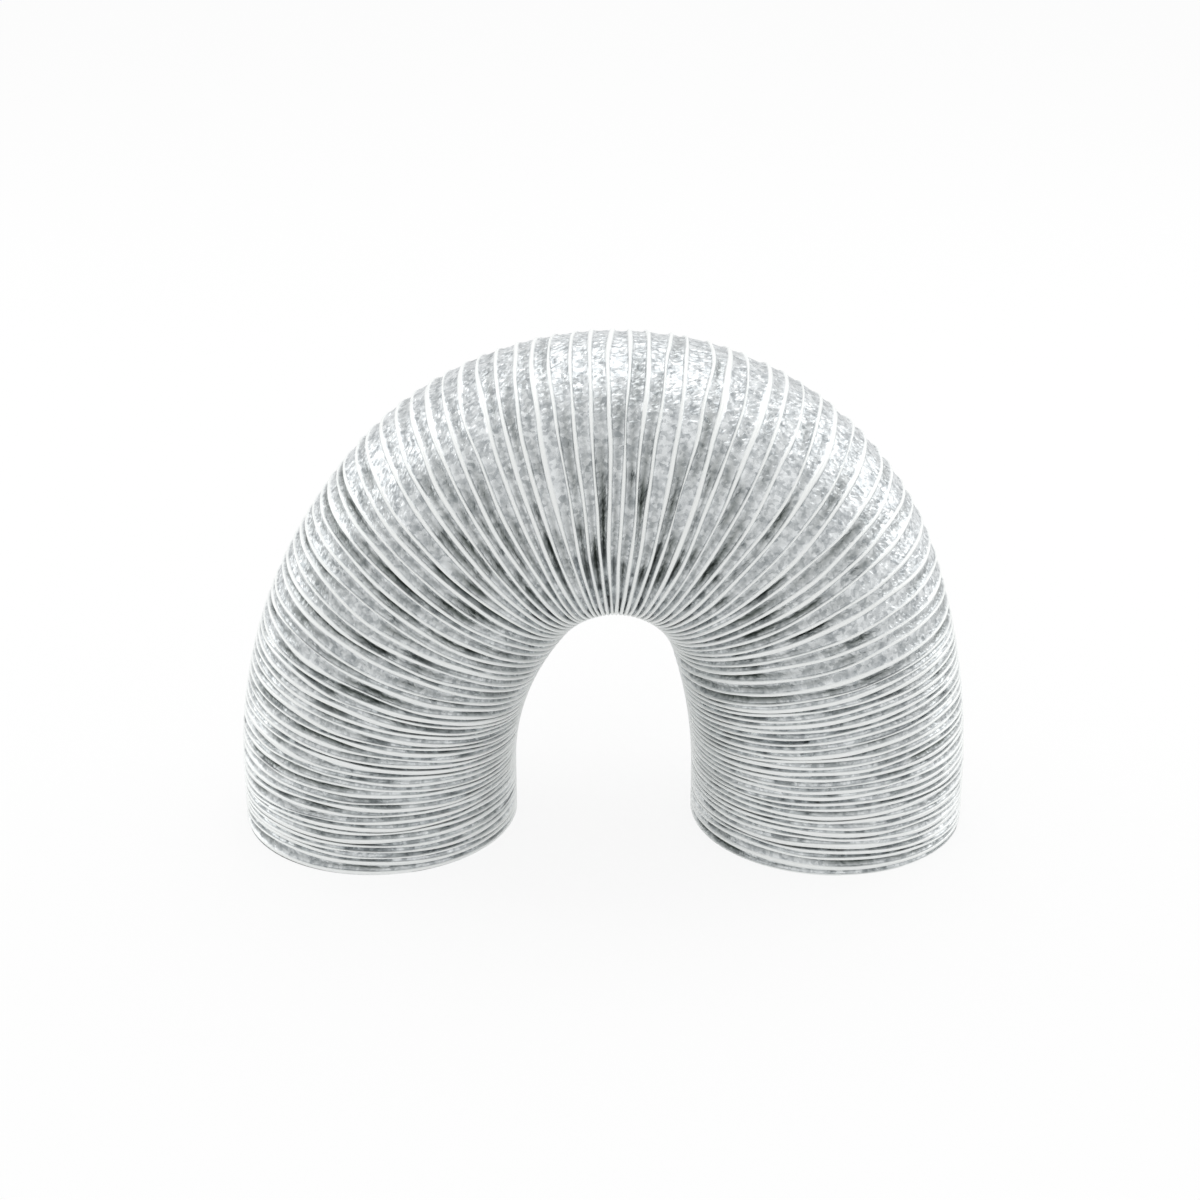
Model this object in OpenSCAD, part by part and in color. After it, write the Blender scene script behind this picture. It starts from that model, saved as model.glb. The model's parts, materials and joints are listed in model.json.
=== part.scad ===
// Flexible air duct: an arch of foil laminate on one spring wire helix.
// Millimetres. X runs along the span, Y front to back, Z up, with the origin
// on the ground midway between the two open ends.
//
// The duct is cut at whole turns into eight stiff lengths, with a short
// bellows between each two. Every length and bellows has three pieces: the
// inner foil, the wire wound on it, and the outer foil that covers the wire.

/* [Bore and wall] */
// Clear diameter of the duct
bore_d = 100; // [80:1:125]
// Thickness of the inner foil wall
wall_t = 0.5; // [0.3:0.1:1]
// Diameter of the spring wire
wire_d = 0.7; // [0.5:0.05:0.9]
// Thickness of the outer foil over the wire
cover_t = 0.09; // [0.06:0.01:0.15]

/* [Arch] */
// Straight length at the left end
left_foot = 21; // [15:1:40]
// Centreline radius of the left leg
left_leg_r = 141.5; // [110:0.5:200]
// Angle through which the left leg leans in
left_leg_bend = 40; // [30:1:50]
// Radius of the bend on the inside of the crown, to the middle of the wire
inner_crown_r = 22.19; // [19:0.01:49]
// Angle of the bend over the crown
crown_bend = 122; // [110:1:130]
// Centreline radius of the right leg
right_leg_r = 227.6; // [180:0.1:300]

/* [Winding] */
// Pitch of the closely pushed turns low on the left leg
leg_pitch = 2.75; // [2.4:0.05:3]
// Pitch of the turns on the left half of the crown
crown_pitch = 4.05; // [3.9:0.05:4.15]
// Pitch of the widest turns, just past the crown
haunch_pitch = 5; // [4:0.1:6]

/* [Hidden] */
names = [
  "left_end", "left_end_bellows", "left_leg", "left_leg_bellows", "left_haunch",
  "left_haunch_bellows", "left_crown", "crown_bellows", "right_crown",
  "right_haunch_bellows", "right_haunch", "right_leg_bellows", "right_leg",
  "right_end_bellows", "right_end"
];

foil_colour = [0.78, 0.79, 0.80];
wire_colour = [0.55, 0.56, 0.58];
cover_colour = [0.90, 0.91, 0.92];

arc_fn = 72;  // true circles in the exact model
slip = 0.04;  // the covered wire lies loose in its foil
seat = 0.03;  // between the wall and the foil over the wire
match = 0.002;  // the back half of each turn is this much fuller, so its end takes the front's
cover_r = wire_d / 2 + slip + cover_t;
wall_r = bore_d / 2 + wall_t;
coil_r = wall_r + seat + cover_r;  // from the centreline to the middle of the wire
crown_r = inner_crown_r + coil_r;
rim = cover_r + match + 0.05;  // plain foil below the first turn and the last

// The centreline, as runs of [length, radius, bend]: a radius of 0 is straight.
right_leg_bend = 180 - left_leg_bend - crown_bend;
function arc_length(r, bend) = r * bend * PI / 180;
bends = [
  [left_foot, 0, 0],
  [arc_length(left_leg_r, left_leg_bend), left_leg_r, left_leg_bend],
  [arc_length(crown_r, crown_bend), crown_r, crown_bend],
  [arc_length(right_leg_r, right_leg_bend), right_leg_r, right_leg_bend]
];

// A station is [x, z, heading], with the heading turning from up, 0, over to down, 180.
function along(run, st, s) =
  run[1] == 0
  ? [st[0] + s * sin(st[2]), st[1] + s * cos(st[2]), st[2]]
  : let (h = st[2] + s / run[1] * 180 / PI)
    [st[0] + run[1] * (cos(st[2]) - cos(h)), st[1] + run[1] * (sin(h) - sin(st[2])), h];
function walk(runs, st, s, k = 0) =
  k == len(runs) - 1 || s <= runs[k][0]
  ? along(runs[k], st, s)
  : walk(runs, along(runs[k], st, runs[k][0]), s - runs[k][0], k + 1);
function total(list, k = 0) = k == len(list) ? 0 : list[k] + total(list, k + 1);

bend_length = total([for (b = bends) b[0]]);
bend_end = walk(bends, [0, 0, 0], bend_length);
right_foot = bend_end[1];  // the right end comes down to the ground too
span = bend_end[0];
runs = concat(bends, [[right_foot, 0, 0]]);
duct_length = bend_length + right_foot;
start = [-span / 2, 0, 0];
function station(s) = walk(runs, start, s);

// The winding, as stretches of [turns, pitch]. The turns that are left share what
// is left of their run.
left_foot_turns = 8;
leg_turns = 18;
opening_turns = 13;
crown_turns = 18;
over_turns = 19;
haunch_turns = 3;
packed_turns = 22;
right_foot_turns = 6;
winding = [
  [left_foot_turns, (left_foot - rim) / left_foot_turns],
  [leg_turns, leg_pitch],
  [opening_turns, (bends[1][0] - leg_turns * leg_pitch) / opening_turns],
  [crown_turns, crown_pitch],
  [over_turns, (bends[2][0] - crown_turns * crown_pitch) / over_turns],
  [haunch_turns, haunch_pitch],
  [packed_turns, (bends[3][0] - haunch_turns * haunch_pitch) / packed_turns],
  [right_foot_turns, (right_foot - rim) / right_foot_turns]
];
all_turns = total([for (w = winding) w[0]]);
function wound(t, k = 0) =
  k == len(winding) - 1 || t <= winding[k][0]
  ? t * winding[k][1]
  : winding[k][0] * winding[k][1] + wound(t - winding[k][0], k + 1);
function at_turn(t) = rim + wound(t);

// Turns at which the duct is cut: stiff length, bellows, stiff length and so on.
// Every stretch stays within one run of the centreline.
cuts = [0, 8, 15, 23, 31, 39, 46, 54, 61, 69, 76, 84, 89, 96, 101, all_turns];
function cut_length(i) = i == 0 ? 0 : i == len(cuts) - 1 ? duct_length : at_turn(cuts[i]);
function run_at(s, k = 0) = k == len(runs) - 1 || s < runs[k][0] ? k : run_at(s - runs[k][0], k + 1);

// Points of the winding in the plane of the arch, to a hundredth: whole turns lie
// on the inside of the bend, half turns on the outside.
function hundredth(v) = [for (c = v) round(c * 100) / 100];
function edge(st, out) = hundredth([st[0] - out * cos(st[2]), st[1] + out * sin(st[2])]);
function inside(t) = edge(station(at_turn(t)), -coil_r);
function outside(t) = edge(station(at_turn(t)), coil_r);

// Half a turn of the winding, from an inside point to an outside point, over the
// front (-1) or the back (1) of the duct.
module half_turn(from, to, side) {
  middle = (from + to) / 2;
  lean = atan2(to[1] - from[1], to[0] - from[0]);
  translate([middle[0], 0, middle[1]])
    rotate([0, -lean, 0])
      rotate([0, 0, side < 0 ? 180 : 0])
        rotate_extrude(angle = 180, $fn = arc_fn)
          translate([norm(to - from) / 2, 0])
            children();
}

module ring(outer, inner) {
  difference() {
    circle(r = outer, $fn = arc_fn);
    circle(r = inner, $fn = arc_fn);
  }
}

// The spring wire of one stretch: an unbroken helix of round wire.
module wire(i) {
  color(wire_colour)
    for (t = [cuts[i]:cuts[i + 1] - 1]) {
      half_turn(inside(t), outside(t + 0.5), -1) circle(d = wire_d, $fn = arc_fn);
      half_turn(inside(t + 1), outside(t + 0.5), 1) circle(d = wire_d + 2 * match, $fn = arc_fn);
    }
}

// The outer foil of one stretch, drawn round the wire it holds.
module cover(i) {
  color(cover_colour)
    for (t = [cuts[i]:cuts[i + 1] - 1]) {
      half_turn(inside(t), outside(t + 0.5), -1)
        ring(cover_r, wire_d / 2 + slip);
      half_turn(inside(t + 1), outside(t + 0.5), 1)
        ring(cover_r + match, wire_d / 2 + slip - match);
    }
}

// The inner foil of one stretch: the tube that carries the air.
module foil(i) {
  from = cut_length(i);
  to = cut_length(i + 1);
  st = station(from);
  r = runs[run_at((from + to) / 2)][1];
  color(foil_colour)
    if (r == 0) {
      translate([st[0], 0, min(st[1], station(to)[1])])
        difference() {
          cylinder(r = wall_r, h = to - from, $fn = arc_fn);
          translate([0, 0, -1]) cylinder(d = bore_d, h = to - from + 2, $fn = arc_fn);
        }
    } else {
      // The bend's centre lies to the right of the centreline.
      translate([st[0] + r * cos(st[2]), 0, st[1] - r * sin(st[2])])
        rotate([90, 180 + st[2], 0])
          mirror([0, 1, 0])
            rotate_extrude(angle = (to - from) / r * 180 / PI, $fn = arc_fn)
              translate([r, 0])
                ring(wall_r, bore_d / 2);
    }
}

// The least gap between one turn of the wire and the next, measured on points
// round each turn.
steps = 24;
function on_half(from, to, side, a) =
  let (m = (from + to) / 2, u = (to - from) / 2)
  [m[0] - u[0] * cos(a), side * norm(u) * sin(a), m[1] - u[1] * cos(a)];
function wire_point(t) =
  let (j = floor(t), f = t - j)
  f < 0.5
  ? on_half(inside(j), outside(j + 0.5), -1, f * 360)
  : on_half(inside(j + 1), outside(j + 0.5), 1, (1 - f) * 360);
function least_gap() = min([
  for (t = [0:1 / steps:all_turns - 1.25]) let (p = wire_point(t))
    for (u = [t + 0.75:1 / steps:t + 1.25]) norm(p - wire_point(u))
]) - wire_d - 2 * match;
echo(least_gap_of_wire = least_gap(), right_foot = right_foot, span = span, turns = all_turns);

for (i = [0:len(names) - 1]) {
  foil(i);
  wire(i);
  cover(i);
}
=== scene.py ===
import json
import math

import bpy
import numpy as np
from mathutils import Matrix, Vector


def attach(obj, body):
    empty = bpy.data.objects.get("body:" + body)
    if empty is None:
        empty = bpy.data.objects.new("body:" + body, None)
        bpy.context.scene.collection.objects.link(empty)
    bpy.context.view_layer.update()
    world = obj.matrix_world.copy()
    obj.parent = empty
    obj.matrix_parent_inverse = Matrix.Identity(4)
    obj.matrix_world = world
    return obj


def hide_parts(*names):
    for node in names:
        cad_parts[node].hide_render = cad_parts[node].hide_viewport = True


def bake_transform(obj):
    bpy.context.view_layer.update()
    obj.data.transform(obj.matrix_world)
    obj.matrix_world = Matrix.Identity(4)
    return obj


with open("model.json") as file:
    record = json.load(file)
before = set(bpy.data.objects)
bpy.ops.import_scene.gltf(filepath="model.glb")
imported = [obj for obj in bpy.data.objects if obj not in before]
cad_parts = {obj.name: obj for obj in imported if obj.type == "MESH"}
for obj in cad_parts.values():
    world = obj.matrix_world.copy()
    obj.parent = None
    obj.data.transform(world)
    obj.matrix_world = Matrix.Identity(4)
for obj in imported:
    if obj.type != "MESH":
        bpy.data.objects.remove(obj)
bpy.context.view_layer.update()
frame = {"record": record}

# ---- Spring wire ----
# One helix of drawn spring steel runs through the whole duct and holds it round. It is
# wound first, along a centreline of three bends between two straight ends, and is cut
# here into the lengths that move on their own.
MM = 0.001
SEED = 7

LEFT_FOOT = 21.0 * MM
BENDS = [(141.5 * MM, 40), (73.2 * MM, 122), (227.6 * MM, 18)]  # radius, degrees
LEFT_END, RIGHT_END = (mount["pos_m"] for mount in frame["record"]["mounts"])
RIGHT_FOOT = 2 * RIGHT_END[2]
RUNS = (
    [(LEFT_FOOT, 0.0)]
    + [(radius * math.radians(bend), 1 / radius) for radius, bend in BENDS]
    + [(RIGHT_FOOT, 0.0)]
)
DUCT_LENGTH = sum(length for length, _ in RUNS)

RIM = 0.53 * MM
WINDING = [  # turns, pitch
    (8, (LEFT_FOOT - RIM) / 8),
    (18, 2.75 * MM),
    (13, (RUNS[1][0] - 18 * 2.75 * MM) / 13),
    (18, 4.05 * MM),
    (19, (RUNS[2][0] - 18 * 4.05 * MM) / 19),
    (3, 5.0 * MM),
    (22, (RUNS[3][0] - 3 * 5.0 * MM) / 22),
    (6, (RIGHT_FOOT - RIM) / 6),
]
ALL_TURNS = sum(turns for turns, _ in WINDING)
FIRST_TURN = -RIM / WINDING[0][1]
LAST_TURN = ALL_TURNS + RIM / WINDING[-1][1]

SECTIONS = [  # first and last turn, the body it rides on, the other body of a bellows
    ("left_end", 0, 8, "left_end", None),
    ("left_end_bellows", 8, 15, "left_end", "left_leg"),
    ("left_leg", 15, 23, "left_leg", None),
    ("left_leg_bellows", 23, 31, "left_leg", "left_haunch"),
    ("left_haunch", 31, 39, "left_haunch", None),
    ("left_haunch_bellows", 39, 46, "left_haunch", "left_crown"),
    ("left_crown", 46, 54, "left_crown", None),
    ("crown_bellows", 54, 61, "left_crown", "right_crown"),
    ("right_crown", 61, 69, "right_crown", None),
    ("right_haunch_bellows", 69, 76, "right_crown", "right_haunch"),
    ("right_haunch", 76, 84, "right_haunch", None),
    ("right_leg_bellows", 84, 89, "right_haunch", "right_leg"),
    ("right_leg", 89, 96, "right_leg", None),
    ("right_end_bellows", 96, 101, "right_leg", "right_end"),
    ("right_end", 101, 107, "right_end", None),
]


def length_at(turn):
    """Length along the centreline at a turn; past the ends it goes on evenly."""
    length = RIM
    for turns, pitch in WINDING[:-1]:
        if turn <= turns:
            return length + turn * pitch
        length, turn = length + turns * pitch, turn - turns
    return length + turn * WINDING[-1][1]


def station(length):
    """Place on the centreline, and heading (0 is up, pi is down)."""
    x, z, heading = LEFT_END[0], 0.0, 0.0
    for index, (run, curve) in enumerate(RUNS):
        step = length if index == len(RUNS) - 1 else min(length, run)
        turned = heading + step * curve
        if curve:
            x += (math.cos(heading) - math.cos(turned)) / curve
            z += (math.sin(turned) - math.sin(heading)) / curve
        else:
            x += step * math.sin(heading)
            z += step * math.cos(heading)
        heading = turned
        length -= step
        if length <= 0:
            break
    return x, z, heading


STATIONS_PER_TURN = 8
GUIDE_START = -2
guide_turns = np.arange(GUIDE_START, ALL_TURNS + 2, 1 / STATIONS_PER_TURN)
stations = [station(min(max(length_at(t), 0.0), DUCT_LENGTH)) for t in guide_turns]
guide_mesh = bpy.data.meshes.new("centreline")
guide_mesh.from_pydata([(x, 0.0, z) for x, z, _ in stations], [], [])
away = [(-math.cos(heading), 0.0, math.sin(heading)) for _, _, heading in stations]
attribute = guide_mesh.attributes.new("outward", "FLOAT_VECTOR", "POINT")
attribute.data.foreach_set("vector", np.array(away, np.float32).ravel())
guide = bpy.data.objects.new("centreline", guide_mesh)
bpy.context.collection.objects.link(guide)

MATH, VECTOR, MAP = "ShaderNodeMath", "ShaderNodeVectorMath", "ShaderNodeMapRange"
NOISE, GROUP = "ShaderNodeTexNoise", "GeometryNodeGroup"


def add(tree, kind, inputs=(), **settings):
    """Adds a node, sets its settings, and fills its inputs with values or links."""
    node = tree.nodes.new(kind)
    for name, value in settings.items():
        setattr(node, name, value)
    pairs = inputs.items() if isinstance(inputs, dict) else enumerate(inputs)
    for socket, value in pairs:
        if isinstance(value, bpy.types.Node):
            value = value.outputs[0]
        if isinstance(value, bpy.types.NodeSocket):
            tree.links.new(value, node.inputs[socket])
        else:
            node.inputs[socket].default_value = value
    return node


def new_tree(name, inputs, outputs):
    """A geometry node tree with named inputs: {name: (socket type, default)}."""
    tree = bpy.data.node_groups.new(name, "GeometryNodeTree")
    for label, (kind, value) in inputs.items():
        socket = tree.interface.new_socket(label, in_out="INPUT", socket_type=kind)
        if value is not None:
            socket.default_value = value
    for label, kind in outputs.items():
        tree.interface.new_socket(label, in_out="OUTPUT", socket_type=kind)
    return tree, tree.nodes.new("NodeGroupInput").outputs, tree.nodes.new("NodeGroupOutput").inputs


# A place on the winding (turn, share round from the inside of the bend over the front,
# radius) becomes a point. The turns sit a little unevenly, as a duct pushed together by
# hand has them, and the second turn from either end stands off at the front.
UNEVEN_TURNS = 0.36
CROWN_TURN = 57
LEFT_STAND_OFF, RIGHT_STAND_OFF = 1.0, 0.75

place, at, out = new_tree(
    "place on duct",
    {
        "Turn": ("NodeSocketFloat", 0.0),
        "Round": ("NodeSocketFloat", 0.0),
        "Radius": ("NodeSocketFloat", 0.05),
    },
    {"Position": "NodeSocketVector"},
)
angle = add(place, MATH, [at["Round"], 2 * math.pi], operation="MULTIPLY")
cosine = add(place, MATH, [angle], operation="COSINE")
sine = add(place, MATH, [angle], operation="SINE")
spread = add(place, "ShaderNodeCombineXYZ", [
    add(place, MATH, [at["Turn"], 0.9], operation="MULTIPLY"),
    add(place, MATH, [cosine, 1.1, SEED], operation="MULTIPLY_ADD"),
    add(place, MATH, [sine, 1.1], operation="MULTIPLY"),
])
uneven = add(place, NOISE, {"Vector": spread, "Scale": 1.0, "Detail": 1.0})
calm = add(place, MATH, [
    add(place, MAP, {"Value": at["Turn"], "From Min": 0.0, "From Max": 2.0}),
    add(place, MAP, {"Value": at["Turn"], "From Min": ALL_TURNS, "From Max": ALL_TURNS - 2.0}),
], operation="MULTIPLY")
from_crown = add(place, MATH, [
    add(place, MATH, [at["Turn"], -CROWN_TURN], operation="ADD"),
], operation="ABSOLUTE")
legs = add(place, MAP, {
    "Value": from_crown, "From Min": 20.0, "From Max": 35.0, "To Min": 1.0, "To Max": 1.6,
})
shift = add(place, MATH, [
    add(place, MATH, [add(place, MATH, [uneven, -0.5], operation="ADD"), calm], operation="MULTIPLY"),
    legs,
], operation="MULTIPLY")
turn = add(place, MATH, [shift, 2 * UNEVEN_TURNS, at["Turn"]], operation="MULTIPLY_ADD")
for rim_turn, inward_sign, middle, amount in (
    (0.0, 1, 0.38, LEFT_STAND_OFF), (ALL_TURNS, -1, 0.16, -RIGHT_STAND_OFF),
):
    from_rim = add(place, MATH, [
        add(place, MATH, [at["Turn"], -rim_turn], operation="ADD"), inward_sign,
    ], operation="MULTIPLY")
    up = add(place, MAP, {"Value": from_rim, "From Min": 0.5, "From Max": 1.3})
    down = add(place, MAP, {"Value": from_rim, "From Min": 8.0, "From Max": 1.3})
    off_middle = add(place, MATH, [
        add(place, MATH, [at["Round"], -middle], operation="ADD"),
    ], operation="ABSOLUTE")
    front = add(place, MAP, {
        "Value": off_middle, "From Min": 0.24, "From Max": 0.0,
    }, interpolation_type="SMOOTHSTEP")
    lift = add(place, MATH, [
        add(place, MATH, [up, down], operation="MULTIPLY"), front,
    ], operation="MULTIPLY")
    turn = add(place, MATH, [lift, amount, turn], operation="MULTIPLY_ADD")
turn = add(place, "ShaderNodeClamp", [turn, FIRST_TURN, LAST_TURN])
index = add(place, MATH, [
    add(place, MATH, [turn, -GUIDE_START], operation="ADD"), STATIONS_PER_TURN,
], operation="MULTIPLY")
below = add(place, MATH, [index], operation="FLOOR")
above = add(place, MATH, [below, 1.0], operation="ADD")
share = add(place, MATH, [index, below], operation="SUBTRACT")
line = add(place, "GeometryNodeObjectInfo", {"Object": guide}).outputs["Geometry"]
found = []
for source in (
    add(place, "GeometryNodeInputPosition"),
    add(place, "GeometryNodeInputNamedAttribute", {"Name": "outward"}, data_type="FLOAT_VECTOR"),
):
    before, after = (
        add(place, "GeometryNodeSampleIndex", {
            "Geometry": line, "Value": source, "Index": i,
        }, data_type="FLOAT_VECTOR")
        for i in (below, above)
    )
    gone = add(place, VECTOR, [after, before], operation="SUBTRACT")
    gone = add(place, VECTOR, {0: gone, "Scale": share}, operation="SCALE")
    found.append(add(place, VECTOR, [before, gone], operation="ADD"))
centre, outward = found
inward = add(place, MATH, [cosine, at["Radius"]], operation="MULTIPLY")
across = add(place, VECTOR, {
    0: outward, "Scale": add(place, MATH, [inward, -1.0], operation="MULTIPLY"),
}, operation="SCALE")
forward = add(place, "ShaderNodeCombineXYZ", {
    "Y": add(place, MATH, [
        add(place, MATH, [sine, at["Radius"]], operation="MULTIPLY"), -1.0,
    ], operation="MULTIPLY"),
})
spot = add(place, VECTOR, [centre, across], operation="ADD")
place.links.new(add(place, VECTOR, [spot, forward], operation="ADD").outputs[0], out["Position"])

winding, at, out = new_tree(
    "wound wire",
    {
        "First Turn": ("NodeSocketFloat", 0.0),
        "Turns": ("NodeSocketFloat", 1.0),
        "Points per Turn": ("NodeSocketInt", 72),
        "Radius": ("NodeSocketFloat", 0.051),
        "Wire Radius": ("NodeSocketFloat", 0.00035),
        "Material": ("NodeSocketMaterial", None),
    },
    {"Geometry": "NodeSocketGeometry"},
)
count = add(winding, MATH, [
    add(winding, MATH, [at["Turns"], at["Points per Turn"]], operation="MULTIPLY"), 1.0,
], operation="ADD")
strand = add(winding, "GeometryNodeMeshLine", {"Count": count, "Offset": (0.0, 0.0, 0.001)})
turn = add(winding, MATH, [
    add(winding, MATH, [
        add(winding, "GeometryNodeInputIndex"), at["Points per Turn"],
    ], operation="DIVIDE"),
    at["First Turn"],
], operation="ADD")
spot = add(winding, GROUP, {
    "Turn": turn, "Round": add(winding, MATH, [turn], operation="FRACT"), "Radius": at["Radius"],
}, node_tree=place)
strand = add(winding, "GeometryNodeSetPosition", {"Geometry": strand, "Position": spot})
strand = add(winding, "GeometryNodeStoreNamedAttribute", {
    "Geometry": strand, "Name": "turn", "Value": turn,
}, data_type="FLOAT", domain="POINT")
strand = add(winding, "GeometryNodeMeshToCurve", {"Mesh": strand})
profile = add(winding, "GeometryNodeCurvePrimitiveCircle", {
    "Resolution": 6, "Radius": at["Wire Radius"],
})
tube = add(winding, "GeometryNodeCurveToMesh", {
    "Curve": strand, "Profile Curve": profile, "Fill Caps": True,
})
tube = add(winding, "GeometryNodeSetShadeSmooth", {"Geometry": tube})
tube = add(winding, "GeometryNodeRealizeInstances", {"Geometry": tube})
tube = add(winding, "GeometryNodeSetMaterial", {"Geometry": tube, "Material": at["Material"]})
winding.links.new(tube.outputs[0], out["Geometry"])


def wound_piece(name, tree, values):
    """An object made by one of the trees, with the modifier gone."""
    start = bpy.data.objects.new(name + "_start", bpy.data.meshes.new(name + "_start"))
    bpy.context.collection.objects.link(start)
    modifier = start.modifiers.new("wound", "NODES")
    modifier.node_group = tree
    for socket in tree.interface.items_tree:
        if socket.in_out == "INPUT" and socket.name in values:
            modifier[socket.identifier] = values[socket.name]
    view = bpy.context.evaluated_depsgraph_get()
    mesh = bpy.data.meshes.new_from_object(start.evaluated_get(view), depsgraph=view)
    mesh.name = name
    bpy.data.objects.remove(start)
    piece = bpy.data.objects.new(name, mesh)
    bpy.context.collection.objects.link(piece)
    return piece


def join_up(piece, section, node):
    """A stiff piece rides on its body; a bellows is left in place as wound. Either way the CAD part it
    stands for is hidden.
    """
    name, first, last, body, other = section
    if other is None:
        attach(piece, body)
    else:
        ends = [station(length_at(t)) for t in (first, last)]
        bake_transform(piece)
        turns = np.zeros(len(piece.data.vertices), np.float32)
        piece.data.attributes["turn"].data.foreach_get("value", turns)
    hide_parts(name + node)


def linear(code):
    """An sRGB hex value as a linear colour."""
    parts = [int(code[i:i + 2], 16) / 255 for i in (1, 3, 5)]
    return [c / 12.92 if c <= 0.04045 else ((c + 0.055) / 1.055) ** 2.4 for c in parts] + [1.0]


# Drawn spring steel: a plain grey metal with an even, slightly clouded shine.
steel = bpy.data.materials.new("drawn_spring_steel")
steel.use_nodes = True
tree = steel.node_tree
tree.nodes.clear()
grain = add(tree, NOISE, {
    "Vector": add(tree, "ShaderNodeTexCoord").outputs["Object"], "Scale": 1 / (1 * MM), "Detail": 2.0,
})
add(tree, "ShaderNodeOutputMaterial", {"Surface": add(tree, "ShaderNodeBsdfPrincipled", {
    "Base Color": linear("#A4A6A8"), "Metallic": 1.0,
    "Roughness": add(tree, MAP, {"Value": grain, "To Min": 0.25, "To Max": 0.45}),
})})

COIL_R = 51.01 * MM
for section in SECTIONS:
    name, first, last = section[:3]
    wire = wound_piece(name + "_spring_wire", winding, {
        "First Turn": float(first), "Turns": float(last - first), "Points per Turn": 72,
        "Radius": COIL_R, "Wire Radius": 0.35 * MM, "Material": steel,
    })
    join_up(wire, section, "_wire")

# ---- Inner foil ----
# The inner ply is aluminium foil laminate wrapped inside the wire and glued to the outer
# ply between the turns. Pushed together, it hangs in soft pleats towards the bore.
RIDGE_SHARE = 0.25  # share of the rows between two turns that shapes one side of a ridge

pleat, at, out = new_tree(
    "pleated foil",
    {
        "First Turn": ("NodeSocketFloat", 0.0),
        "Turns": ("NodeSocketInt", 1),
        "Rows per Turn": ("NodeSocketInt", 14),
        "Points Round": ("NodeSocketInt", 400),
        "Radius": ("NodeSocketFloat", 0.051),
        "Rim Radius": ("NodeSocketFloat", 0.051),
        "Ridge": ("NodeSocketFloat", 0.0005),
        "Fold Depth": ("NodeSocketFloat", 0.002),
        "Crease": ("NodeSocketFloat", 0.0003),
        "Material": ("NodeSocketMaterial", None),
    },
    {"Geometry": "NodeSocketGeometry"},
)
rows = add(pleat, MATH, [at["Turns"], at["Rows per Turn"]], operation="MULTIPLY")
grid = add(pleat, "GeometryNodeMeshGrid", {
    "Size X": 1.0,
    "Size Y": 1.0,
    "Vertices X": add(pleat, MATH, [rows, 1.0], operation="ADD"),
    "Vertices Y": add(pleat, MATH, [at["Points Round"], 1.0], operation="ADD"),
})
across, around, _ = add(pleat, "ShaderNodeSeparateXYZ", [grid.outputs["UV Map"]]).outputs

# Which ridge a row of points belongs to, and how far off it the row lies: the rows are
# close together on a ridge and spread out over the fold.
row = add(pleat, MATH, [
    add(pleat, MATH, [across, rows], operation="MULTIPLY"),
], operation="ROUND")
whole = add(pleat, MATH, [
    add(pleat, MATH, [
        add(pleat, MATH, [row, 0.5], operation="ADD"), at["Rows per Turn"],
    ], operation="DIVIDE"),
], operation="FLOOR")
part = add(pleat, MATH, [
    add(pleat, MATH, [row, at["Rows per Turn"]], operation="DIVIDE"), whole,
], operation="SUBTRACT")
near = add(pleat, MATH, [
    part, add(pleat, MATH, [1.0, part], operation="SUBTRACT"),
], operation="MINIMUM")
ridge_turn = add(pleat, MATH, [
    add(pleat, MATH, [at["First Turn"], whole], operation="ADD"), around,
], operation="ADD")
ridges = [
    add(pleat, GROUP, {"Turn": t, "Round": around, "Radius": at["Radius"]}, node_tree=place)
    for t in (ridge_turn, add(pleat, MATH, [ridge_turn, 1.0], operation="ADD"))
]
gap = add(pleat, MATH, [
    add(pleat, VECTOR, ridges, operation="DISTANCE").outputs["Value"], 0.3 * MM,
], operation="MAXIMUM")
half = add(pleat, MATH, [gap, 0.5], operation="MULTIPLY")
narrow = add(pleat, MATH, [
    at["Ridge"], add(pleat, MATH, [gap, 0.48], operation="MULTIPLY"),
], operation="MINIMUM")
on_ridge = add(pleat, MAP, {"Value": near, "From Max": RIDGE_SHARE, "To Max": narrow})
in_fold = add(pleat, MAP, {
    "Value": near, "From Min": RIDGE_SHARE, "From Max": 0.5,
    "To Max": add(pleat, MATH, [half, narrow], operation="SUBTRACT"),
})
off = add(pleat, MATH, [on_ridge, in_fold], operation="ADD")
off_share = add(pleat, MATH, [off, gap], operation="DIVIDE")
turn_share = add(pleat, "ShaderNodeMix", {
    "Factor": add(pleat, MATH, [part, 0.5], operation="GREATER_THAN"),
    "A": off_share,
    "B": add(pleat, MATH, [1.0, off_share], operation="SUBTRACT"),
})
turn = add(pleat, MATH, [ridge_turn, turn_share], operation="ADD")

# How far the foil stands up on the wire, and how far it falls into the fold. Narrow folds
# fall more evenly, wide ones at once and less deep; some stretches are pressed flat.
rise = add(pleat, MATH, [
    add(pleat, MATH, [
        add(pleat, MATH, [
            add(pleat, MATH, [narrow, 2.0], operation="POWER"),
            add(pleat, MATH, [off, 2.0], operation="POWER"),
        ], operation="SUBTRACT"), 0.0,
    ], operation="MAXIMUM"),
], operation="SQRT")
tight = add(pleat, MAP, {"Value": gap, "From Min": 7.5 * MM, "From Max": 2.0 * MM})
fall = add(pleat, MATH, [
    add(pleat, MAP, {"Value": off, "From Min": narrow, "From Max": half}),
    add(pleat, MAP, {"Value": tight, "To Min": 0.35, "To Max": 0.8}),
], operation="POWER")
angle = add(pleat, MATH, [around, 2 * math.pi], operation="MULTIPLY")
along_fold = add(pleat, "ShaderNodeCombineXYZ", [
    add(pleat, MATH, [ridge_turn, 1.7], operation="MULTIPLY"),
    add(pleat, MATH, [add(pleat, MATH, [angle], operation="COSINE"), 5.0], operation="MULTIPLY"),
    add(pleat, MATH, [add(pleat, MATH, [angle], operation="SINE"), 5.0], operation="MULTIPLY"),
])
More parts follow.
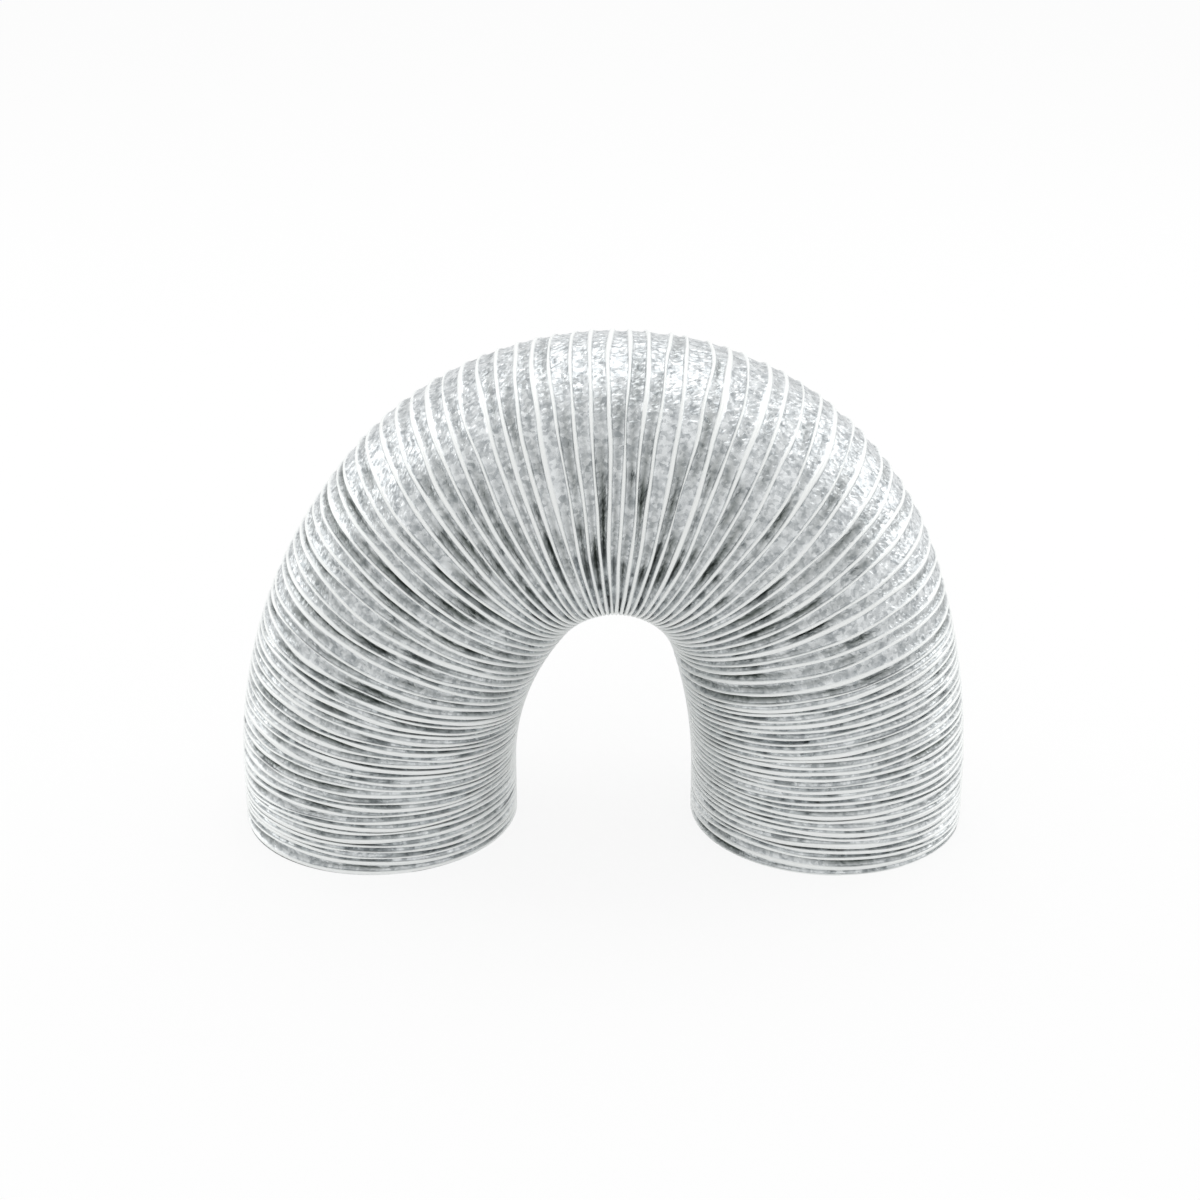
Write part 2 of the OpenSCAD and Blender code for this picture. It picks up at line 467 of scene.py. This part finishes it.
waver = add(pleat, NOISE, {"Vector": along_fold, "Scale": 1.0, "Detail": 2.0})
stretch = add(pleat, "ShaderNodeCombineXYZ", [
    add(pleat, MATH, [ridge_turn, 2.3], operation="MULTIPLY"),
    add(pleat, MATH, [add(pleat, MATH, [angle], operation="COSINE"), 1.8], operation="MULTIPLY"),
    add(pleat, MATH, [add(pleat, MATH, [angle], operation="SINE"), 1.8], operation="MULTIPLY"),
])
patch = add(pleat, MAP, {
    "Value": add(pleat, NOISE, {"Vector": stretch, "Scale": 1.0, "Detail": 2.0, "Roughness": 0.6}),
    "From Min": 0.45, "From Max": 0.63, "To Min": 0.12, "To Max": 1.0,
})
depth = add(pleat, MATH, [
    add(pleat, MATH, [
        add(pleat, MATH, [
            at["Fold Depth"], add(pleat, MAP, {"Value": tight, "To Min": 0.35, "To Max": 1.0}),
        ], operation="MULTIPLY"),
        add(pleat, MAP, {
            "Value": waver, "From Min": 0.3, "From Max": 0.7, "To Min": 0.4, "To Max": 1.5,
        }),
    ], operation="MULTIPLY"),
    add(pleat, MAP, {"Value": patch, "To Min": 0.3, "To Max": 1.0}),
], operation="MULTIPLY")
height = add(pleat, MATH, [
    rise, add(pleat, MATH, [depth, fall], operation="MULTIPLY"),
], operation="SUBTRACT")
at_rim = add(pleat, MATH, [
    add(pleat, MATH, [turn, FIRST_TURN], operation="LESS_THAN"),
    add(pleat, MATH, [turn, LAST_TURN], operation="GREATER_THAN"),
], operation="MAXIMUM")
radius = add(pleat, "ShaderNodeMix", {
    "Factor": at_rim,
    "A": add(pleat, MATH, [at["Radius"], height], operation="ADD"),
    "B": at["Rim Radius"],
})
shaped = add(pleat, GROUP, {"Turn": turn, "Round": around, "Radius": radius}, node_tree=place)

# Creases: small facets all over the fold, none on the ridge.
crumple = add(pleat, NOISE, {
    "Vector": shaped, "Scale": 1 / (1.6 * MM), "Detail": 2.0, "Roughness": 0.6,
})
facets = add(pleat, VECTOR, [crumple.outputs["Color"], (0.5, 0.5, 0.5)], operation="SUBTRACT")
loose = add(pleat, MAP, {
    "Value": off, "From Min": narrow, "From Max": add(pleat, MATH, [narrow, 0.9 * MM], operation="ADD"),
})
loose = add(pleat, MATH, [
    loose, add(pleat, MATH, [1.0, at_rim], operation="SUBTRACT"),
], operation="MULTIPLY")
amount = add(pleat, MATH, [
    add(pleat, MATH, [at["Crease"], loose], operation="MULTIPLY"),
    add(pleat, MAP, {
        "Value": gap, "From Min": 1 * MM, "From Max": 5 * MM, "To Min": 0.35, "To Max": 1.0,
    }),
], operation="MULTIPLY")
creased = add(pleat, VECTOR, [
    shaped, add(pleat, VECTOR, {0: facets, "Scale": amount}, operation="SCALE"),
], operation="ADD")
skin = add(pleat, "GeometryNodeSetPosition", {"Geometry": grid, "Position": creased})

# Folds of about 3.6 to 4 mm look darkest. The stored turn stays the same over each ridge and changes
# only across the fold beside it.
# Painted shade: the stored shade darkens the fold's colour, most in folds of about 3.6 to 4 mm, where
# the fold falls deep, and in noisy patches.
dim = add(pleat, MATH, [
    add(pleat, MAP, {"Value": gap, "From Min": 8.0 * MM, "From Max": 4.0 * MM}),
    add(pleat, MAP, {
        "Value": gap, "From Min": 3.6 * MM, "From Max": 2.4 * MM, "To Min": 1.0, "To Max": 0.36,
    }),
], operation="MULTIPLY")
shade = add(pleat, MATH, [
    add(pleat, MATH, [fall, dim], operation="MULTIPLY"),
    add(pleat, MAP, {"Value": patch, "To Min": 0.38, "To Max": 1.0}),
], operation="MULTIPLY")
ridge_moves_whole = add(pleat, MAP, {
    "Value": add(pleat, MATH, [turn_share, gap], operation="MULTIPLY"),
    "From Min": narrow,
    "From Max": add(pleat, MATH, [gap, narrow], operation="SUBTRACT"),
})
moving_turn = add(pleat, MATH, [ridge_turn, ridge_moves_whole], operation="ADD")
for label, source in (("turn", moving_turn), ("fold", fall), ("shade", shade)):
    skin = add(pleat, "GeometryNodeStoreNamedAttribute", {
        "Geometry": skin, "Name": label, "Value": source,
    }, data_type="FLOAT", domain="POINT")
skin = add(pleat, "GeometryNodeMergeByDistance", {"Geometry": skin, "Distance": 1e-6})
skin = add(pleat, "GeometryNodeRealizeInstances", {"Geometry": skin})
skin = add(pleat, "GeometryNodeSetMaterial", {"Geometry": skin, "Material": at["Material"]})
pleat.links.new(skin.outputs[0], out["Geometry"])


def foil_material(name, ridge, bright, dark_facet_reflection, painted_fold_shade, rough):
    """Foil laminate: smooth on the ridge, facetted in the fold with painted reflections, painted shade
    deep down.
    """
    material = bpy.data.materials.new(name)
    material.use_nodes = True
    tree = material.node_tree
    tree.nodes.clear()
    fold = add(tree, "ShaderNodeAttribute", attribute_name="fold").outputs["Fac"]
    shade = add(tree, "ShaderNodeAttribute", attribute_name="shade").outputs["Fac"]
    coords = add(tree, "ShaderNodeTexCoord").outputs["Object"]
    off_ridge = add(tree, MAP, {"Value": fold, "From Min": 0.0, "From Max": 0.3})
    cloud = add(tree, NOISE, {"Vector": coords, "Scale": 1 / (4 * MM), "Detail": 3.0})
    bent = add(tree, VECTOR, [
        coords, add(tree, VECTOR, {
            0: add(tree, NOISE, {"Vector": coords, "Scale": 1 / (2 * MM)}).outputs["Color"],
            "Scale": 1.6 * MM,
        }, operation="SCALE"),
    ], operation="ADD")
    facet = add(tree, "ShaderNodeTexVoronoi", {"Vector": bent, "Scale": 1 / (1.5 * MM)})
    blur = add(tree, NOISE, {
        "Vector": coords, "Scale": 1 / (3.2 * MM), "Detail": 4.0, "Roughness": 0.62,
    })
    # Painted reflection: facets and soft clouds in the fold are painted lighter or darker at random, as
    # if they caught brighter or darker surroundings.
    tone = add(tree, "ShaderNodeMix", {
        "Factor": 0.24,
        "A": blur,
        "B": add(tree, "ShaderNodeSeparateColor", [facet.outputs["Color"]]).outputs[0],
    })
    tone = add(tree, MAP, {"Value": tone, "From Min": 0.36, "From Max": 0.7})
    colour = add(tree, "ShaderNodeMixRGB", [tone, linear(bright), linear(dark_facet_reflection)])
    colour = add(tree, "ShaderNodeMixRGB", [off_ridge, linear(ridge), colour])
    # Painted shade: where the stored shade is high, deep in the fold, the colour turns to the painted
    # fold-shade colour.
    painted_shade_mix = add(tree, MAP, {"Value": shade, "From Min": 0.1, "From Max": 0.85})
    colour = add(tree, "ShaderNodeMixRGB", [painted_shade_mix, colour, linear(painted_fold_shade)])
    roughness = add(tree, MAP, {
        "Value": cloud, "From Min": 0.3, "From Max": 0.7,
        "To Min": rough - 0.08, "To Max": rough + 0.12,
    })
    roughness = add(tree, "ShaderNodeMix", {"Factor": off_ridge, "A": 0.5, "B": roughness})
    wrinkle = add(tree, NOISE, {"Vector": coords, "Scale": 1 / (1.1 * MM), "Detail": 2.0})
    bump = add(tree, "ShaderNodeBump", {"Height": wrinkle, "Strength": 0.35, "Distance": 0.15 * MM})
    shader = add(tree, "ShaderNodeBsdfPrincipled", {
        "Base Color": colour, "Roughness": roughness, "Normal": bump,
        "Metallic": add(tree, MAP, {"Value": off_ridge, "To Min": 0.6, "To Max": 1.0}),
    })
    add(tree, "ShaderNodeOutputMaterial", {"Surface": shader})
    return material


# Foil laminate of the bore side: a little duller than outside, with painted shade soft grey in the
# pleats.
inner_laminate = foil_material(
    "inner_foil_laminate", "#E2E5E5", "#D6D9DA", "#A4A9A9", "#8C9190", 0.35)

OVERRUN = 2  # turns that the end pieces run on, to be drawn in to the rim


def turn_range(first, last, other):
    """A bellows takes the turn before it too, because the seams follow the wire."""
    start = first if other is None else first - 1
    end = last - 1 if other is None else last
    start -= OVERRUN if first == 0 else 0
    end = last + OVERRUN if last == ALL_TURNS else end
    return start, end - start


for section in SECTIONS:
    name, first, last, _, other = section
    start, turns = turn_range(first, last, other)
    inner = wound_piece(name + "_inner_foil", pleat, {
        "First Turn": float(start), "Turns": turns, "Rows per Turn": 8, "Points Round": 200,
        "Radius": COIL_R - 0.45 * MM, "Rim Radius": COIL_R + 0.2 * MM, "Ridge": 0.25 * MM,
        "Fold Depth": 2.3 * MM, "Crease": 0.7 * MM, "Material": inner_laminate,
    })
    join_up(inner, section, "_foil")

# ---- Outer foil ----
# The outer ply is the same laminate drawn tight over the wire, so that each turn shows as
# a bright ridge. Between the turns it crumples, and at both ends it is turned over.

# Foil laminate of the outside: bright ridges, facets painted light and dark as painted reflections,
# painted shade grey in deep folds.
outer_laminate = foil_material(
    "bright_foil_laminate", "#F0F2F1", "#E3E6E7", "#9EA3A6", "#5A605D", 0.30)
for section in SECTIONS:
    name, first, last, _, other = section
    start, turns = turn_range(first, last, other)
    outer = wound_piece(name + "_outer_foil", pleat, {
        "First Turn": float(start), "Turns": turns, "Rows per Turn": 14, "Points Round": 400,
        "Radius": COIL_R, "Rim Radius": COIL_R - 0.1 * MM, "Ridge": 0.62 * MM,
        "Fold Depth": 1.9 * MM, "Crease": 1.1 * MM, "Material": outer_laminate,
    })
    join_up(outer, section, "_cover")

bpy.data.objects.remove(guide)

# ---- Studio ----
# A white table and a white surround, which the foil shows too, with one soft lamp above
# and a weaker one at either side; the table keeps a faint shadow.
FLOOR_GLOW = 0.86


def rays_to_white(tree):
    """1 for the rays that are to meet plain white: camera, glossy and transmission."""
    seen = add(tree, "ShaderNodeLightPath").outputs
    either = add(tree, MATH, [seen["Is Camera Ray"], seen["Is Glossy Ray"]], operation="MAXIMUM")
    return add(tree, MATH, [either, seen["Is Transmission Ray"]], operation="MAXIMUM")


TABLE = 4.0
table_mesh = bpy.data.meshes.new("table")
table_mesh.from_pydata(
    [(-TABLE, -TABLE, 0), (TABLE, -TABLE, 0), (TABLE, TABLE, 0), (-TABLE, TABLE, 0)], [], [(0, 1, 2, 3)]
)
table = bpy.data.objects.new("table", table_mesh)
bpy.context.collection.objects.link(table)
white = bpy.data.materials.new("white_table")
white.use_nodes = True
tree = white.node_tree
tree.nodes.clear()
paper = add(tree, "ShaderNodeBsdfDiffuse", {"Color": linear("#F2F2F2")})
glow = add(tree, "ShaderNodeEmission", {"Strength": 1.0})
add(tree, "ShaderNodeOutputMaterial", {"Surface": add(tree, "ShaderNodeMixShader", [
    add(tree, MATH, [rays_to_white(tree), FLOOR_GLOW], operation="MULTIPLY"), paper, glow,
])})
table_mesh.materials.append(white)

scene = bpy.context.scene
world = bpy.data.worlds.new("surround")
scene.world = world
world.use_nodes = True
tree = world.node_tree
tree.nodes.clear()
direction = add(tree, "ShaderNodeTexCoord").outputs["Generated"]
up = add(tree, "ShaderNodeSeparateXYZ", [direction]).outputs["Z"]
level = add(tree, MAP, {"Value": up, "From Min": -0.1, "From Max": 0.8, "To Min": 0.42, "To Max": 1.0})
dome = add(tree, "ShaderNodeBackground", {"Color": (1, 1, 1, 1), "Strength": level})
plain = add(tree, "ShaderNodeBackground", {"Color": (1, 1, 1, 1), "Strength": 1.0})
add(tree, "ShaderNodeOutputWorld", {"Surface": add(tree, "ShaderNodeMixShader", [
    rays_to_white(tree), dome, plain,
])})

for name, place_at, size, power in (
    ("top_softbox", (0.1, 0.45, 1.1), 0.8, 2.3),
    ("left_softbox", (-1.0, 0.35, 0.5), 0.7, 1.6),
    ("right_softbox", (1.0, 0.35, 0.5), 0.7, 1.6),
):
    lamp = bpy.data.lights.new(name, "AREA")
    lamp.size = size
    lamp.energy = power
    holder = bpy.data.objects.new(name, lamp)
    bpy.context.collection.objects.link(holder)
    holder.location = place_at
    aim = Vector((0, 0, 0.08)) - Vector(place_at)
    holder.rotation_euler = aim.to_track_quat("-Z", "Y").to_euler()

camera_data = bpy.data.cameras.new("camera")
camera_data.lens = 74.3
camera_data.sensor_width = 36.0
camera_data.shift_x = -0.0044
camera_data.shift_y = 0.0206
camera = bpy.data.objects.new("camera", camera_data)
bpy.context.collection.objects.link(camera)
LOOK_DOWN = math.radians(25.15)
DISTANCE = 0.920
AIM = Vector((0.0006, 0.0, 0.07725))
camera.location = AIM + DISTANCE * Vector((0, -math.cos(LOOK_DOWN), math.sin(LOOK_DOWN)))
camera.rotation_euler = (math.pi / 2 - LOOK_DOWN, 0, 0)
scene.camera = camera
scene.view_settings.view_transform = "Standard"
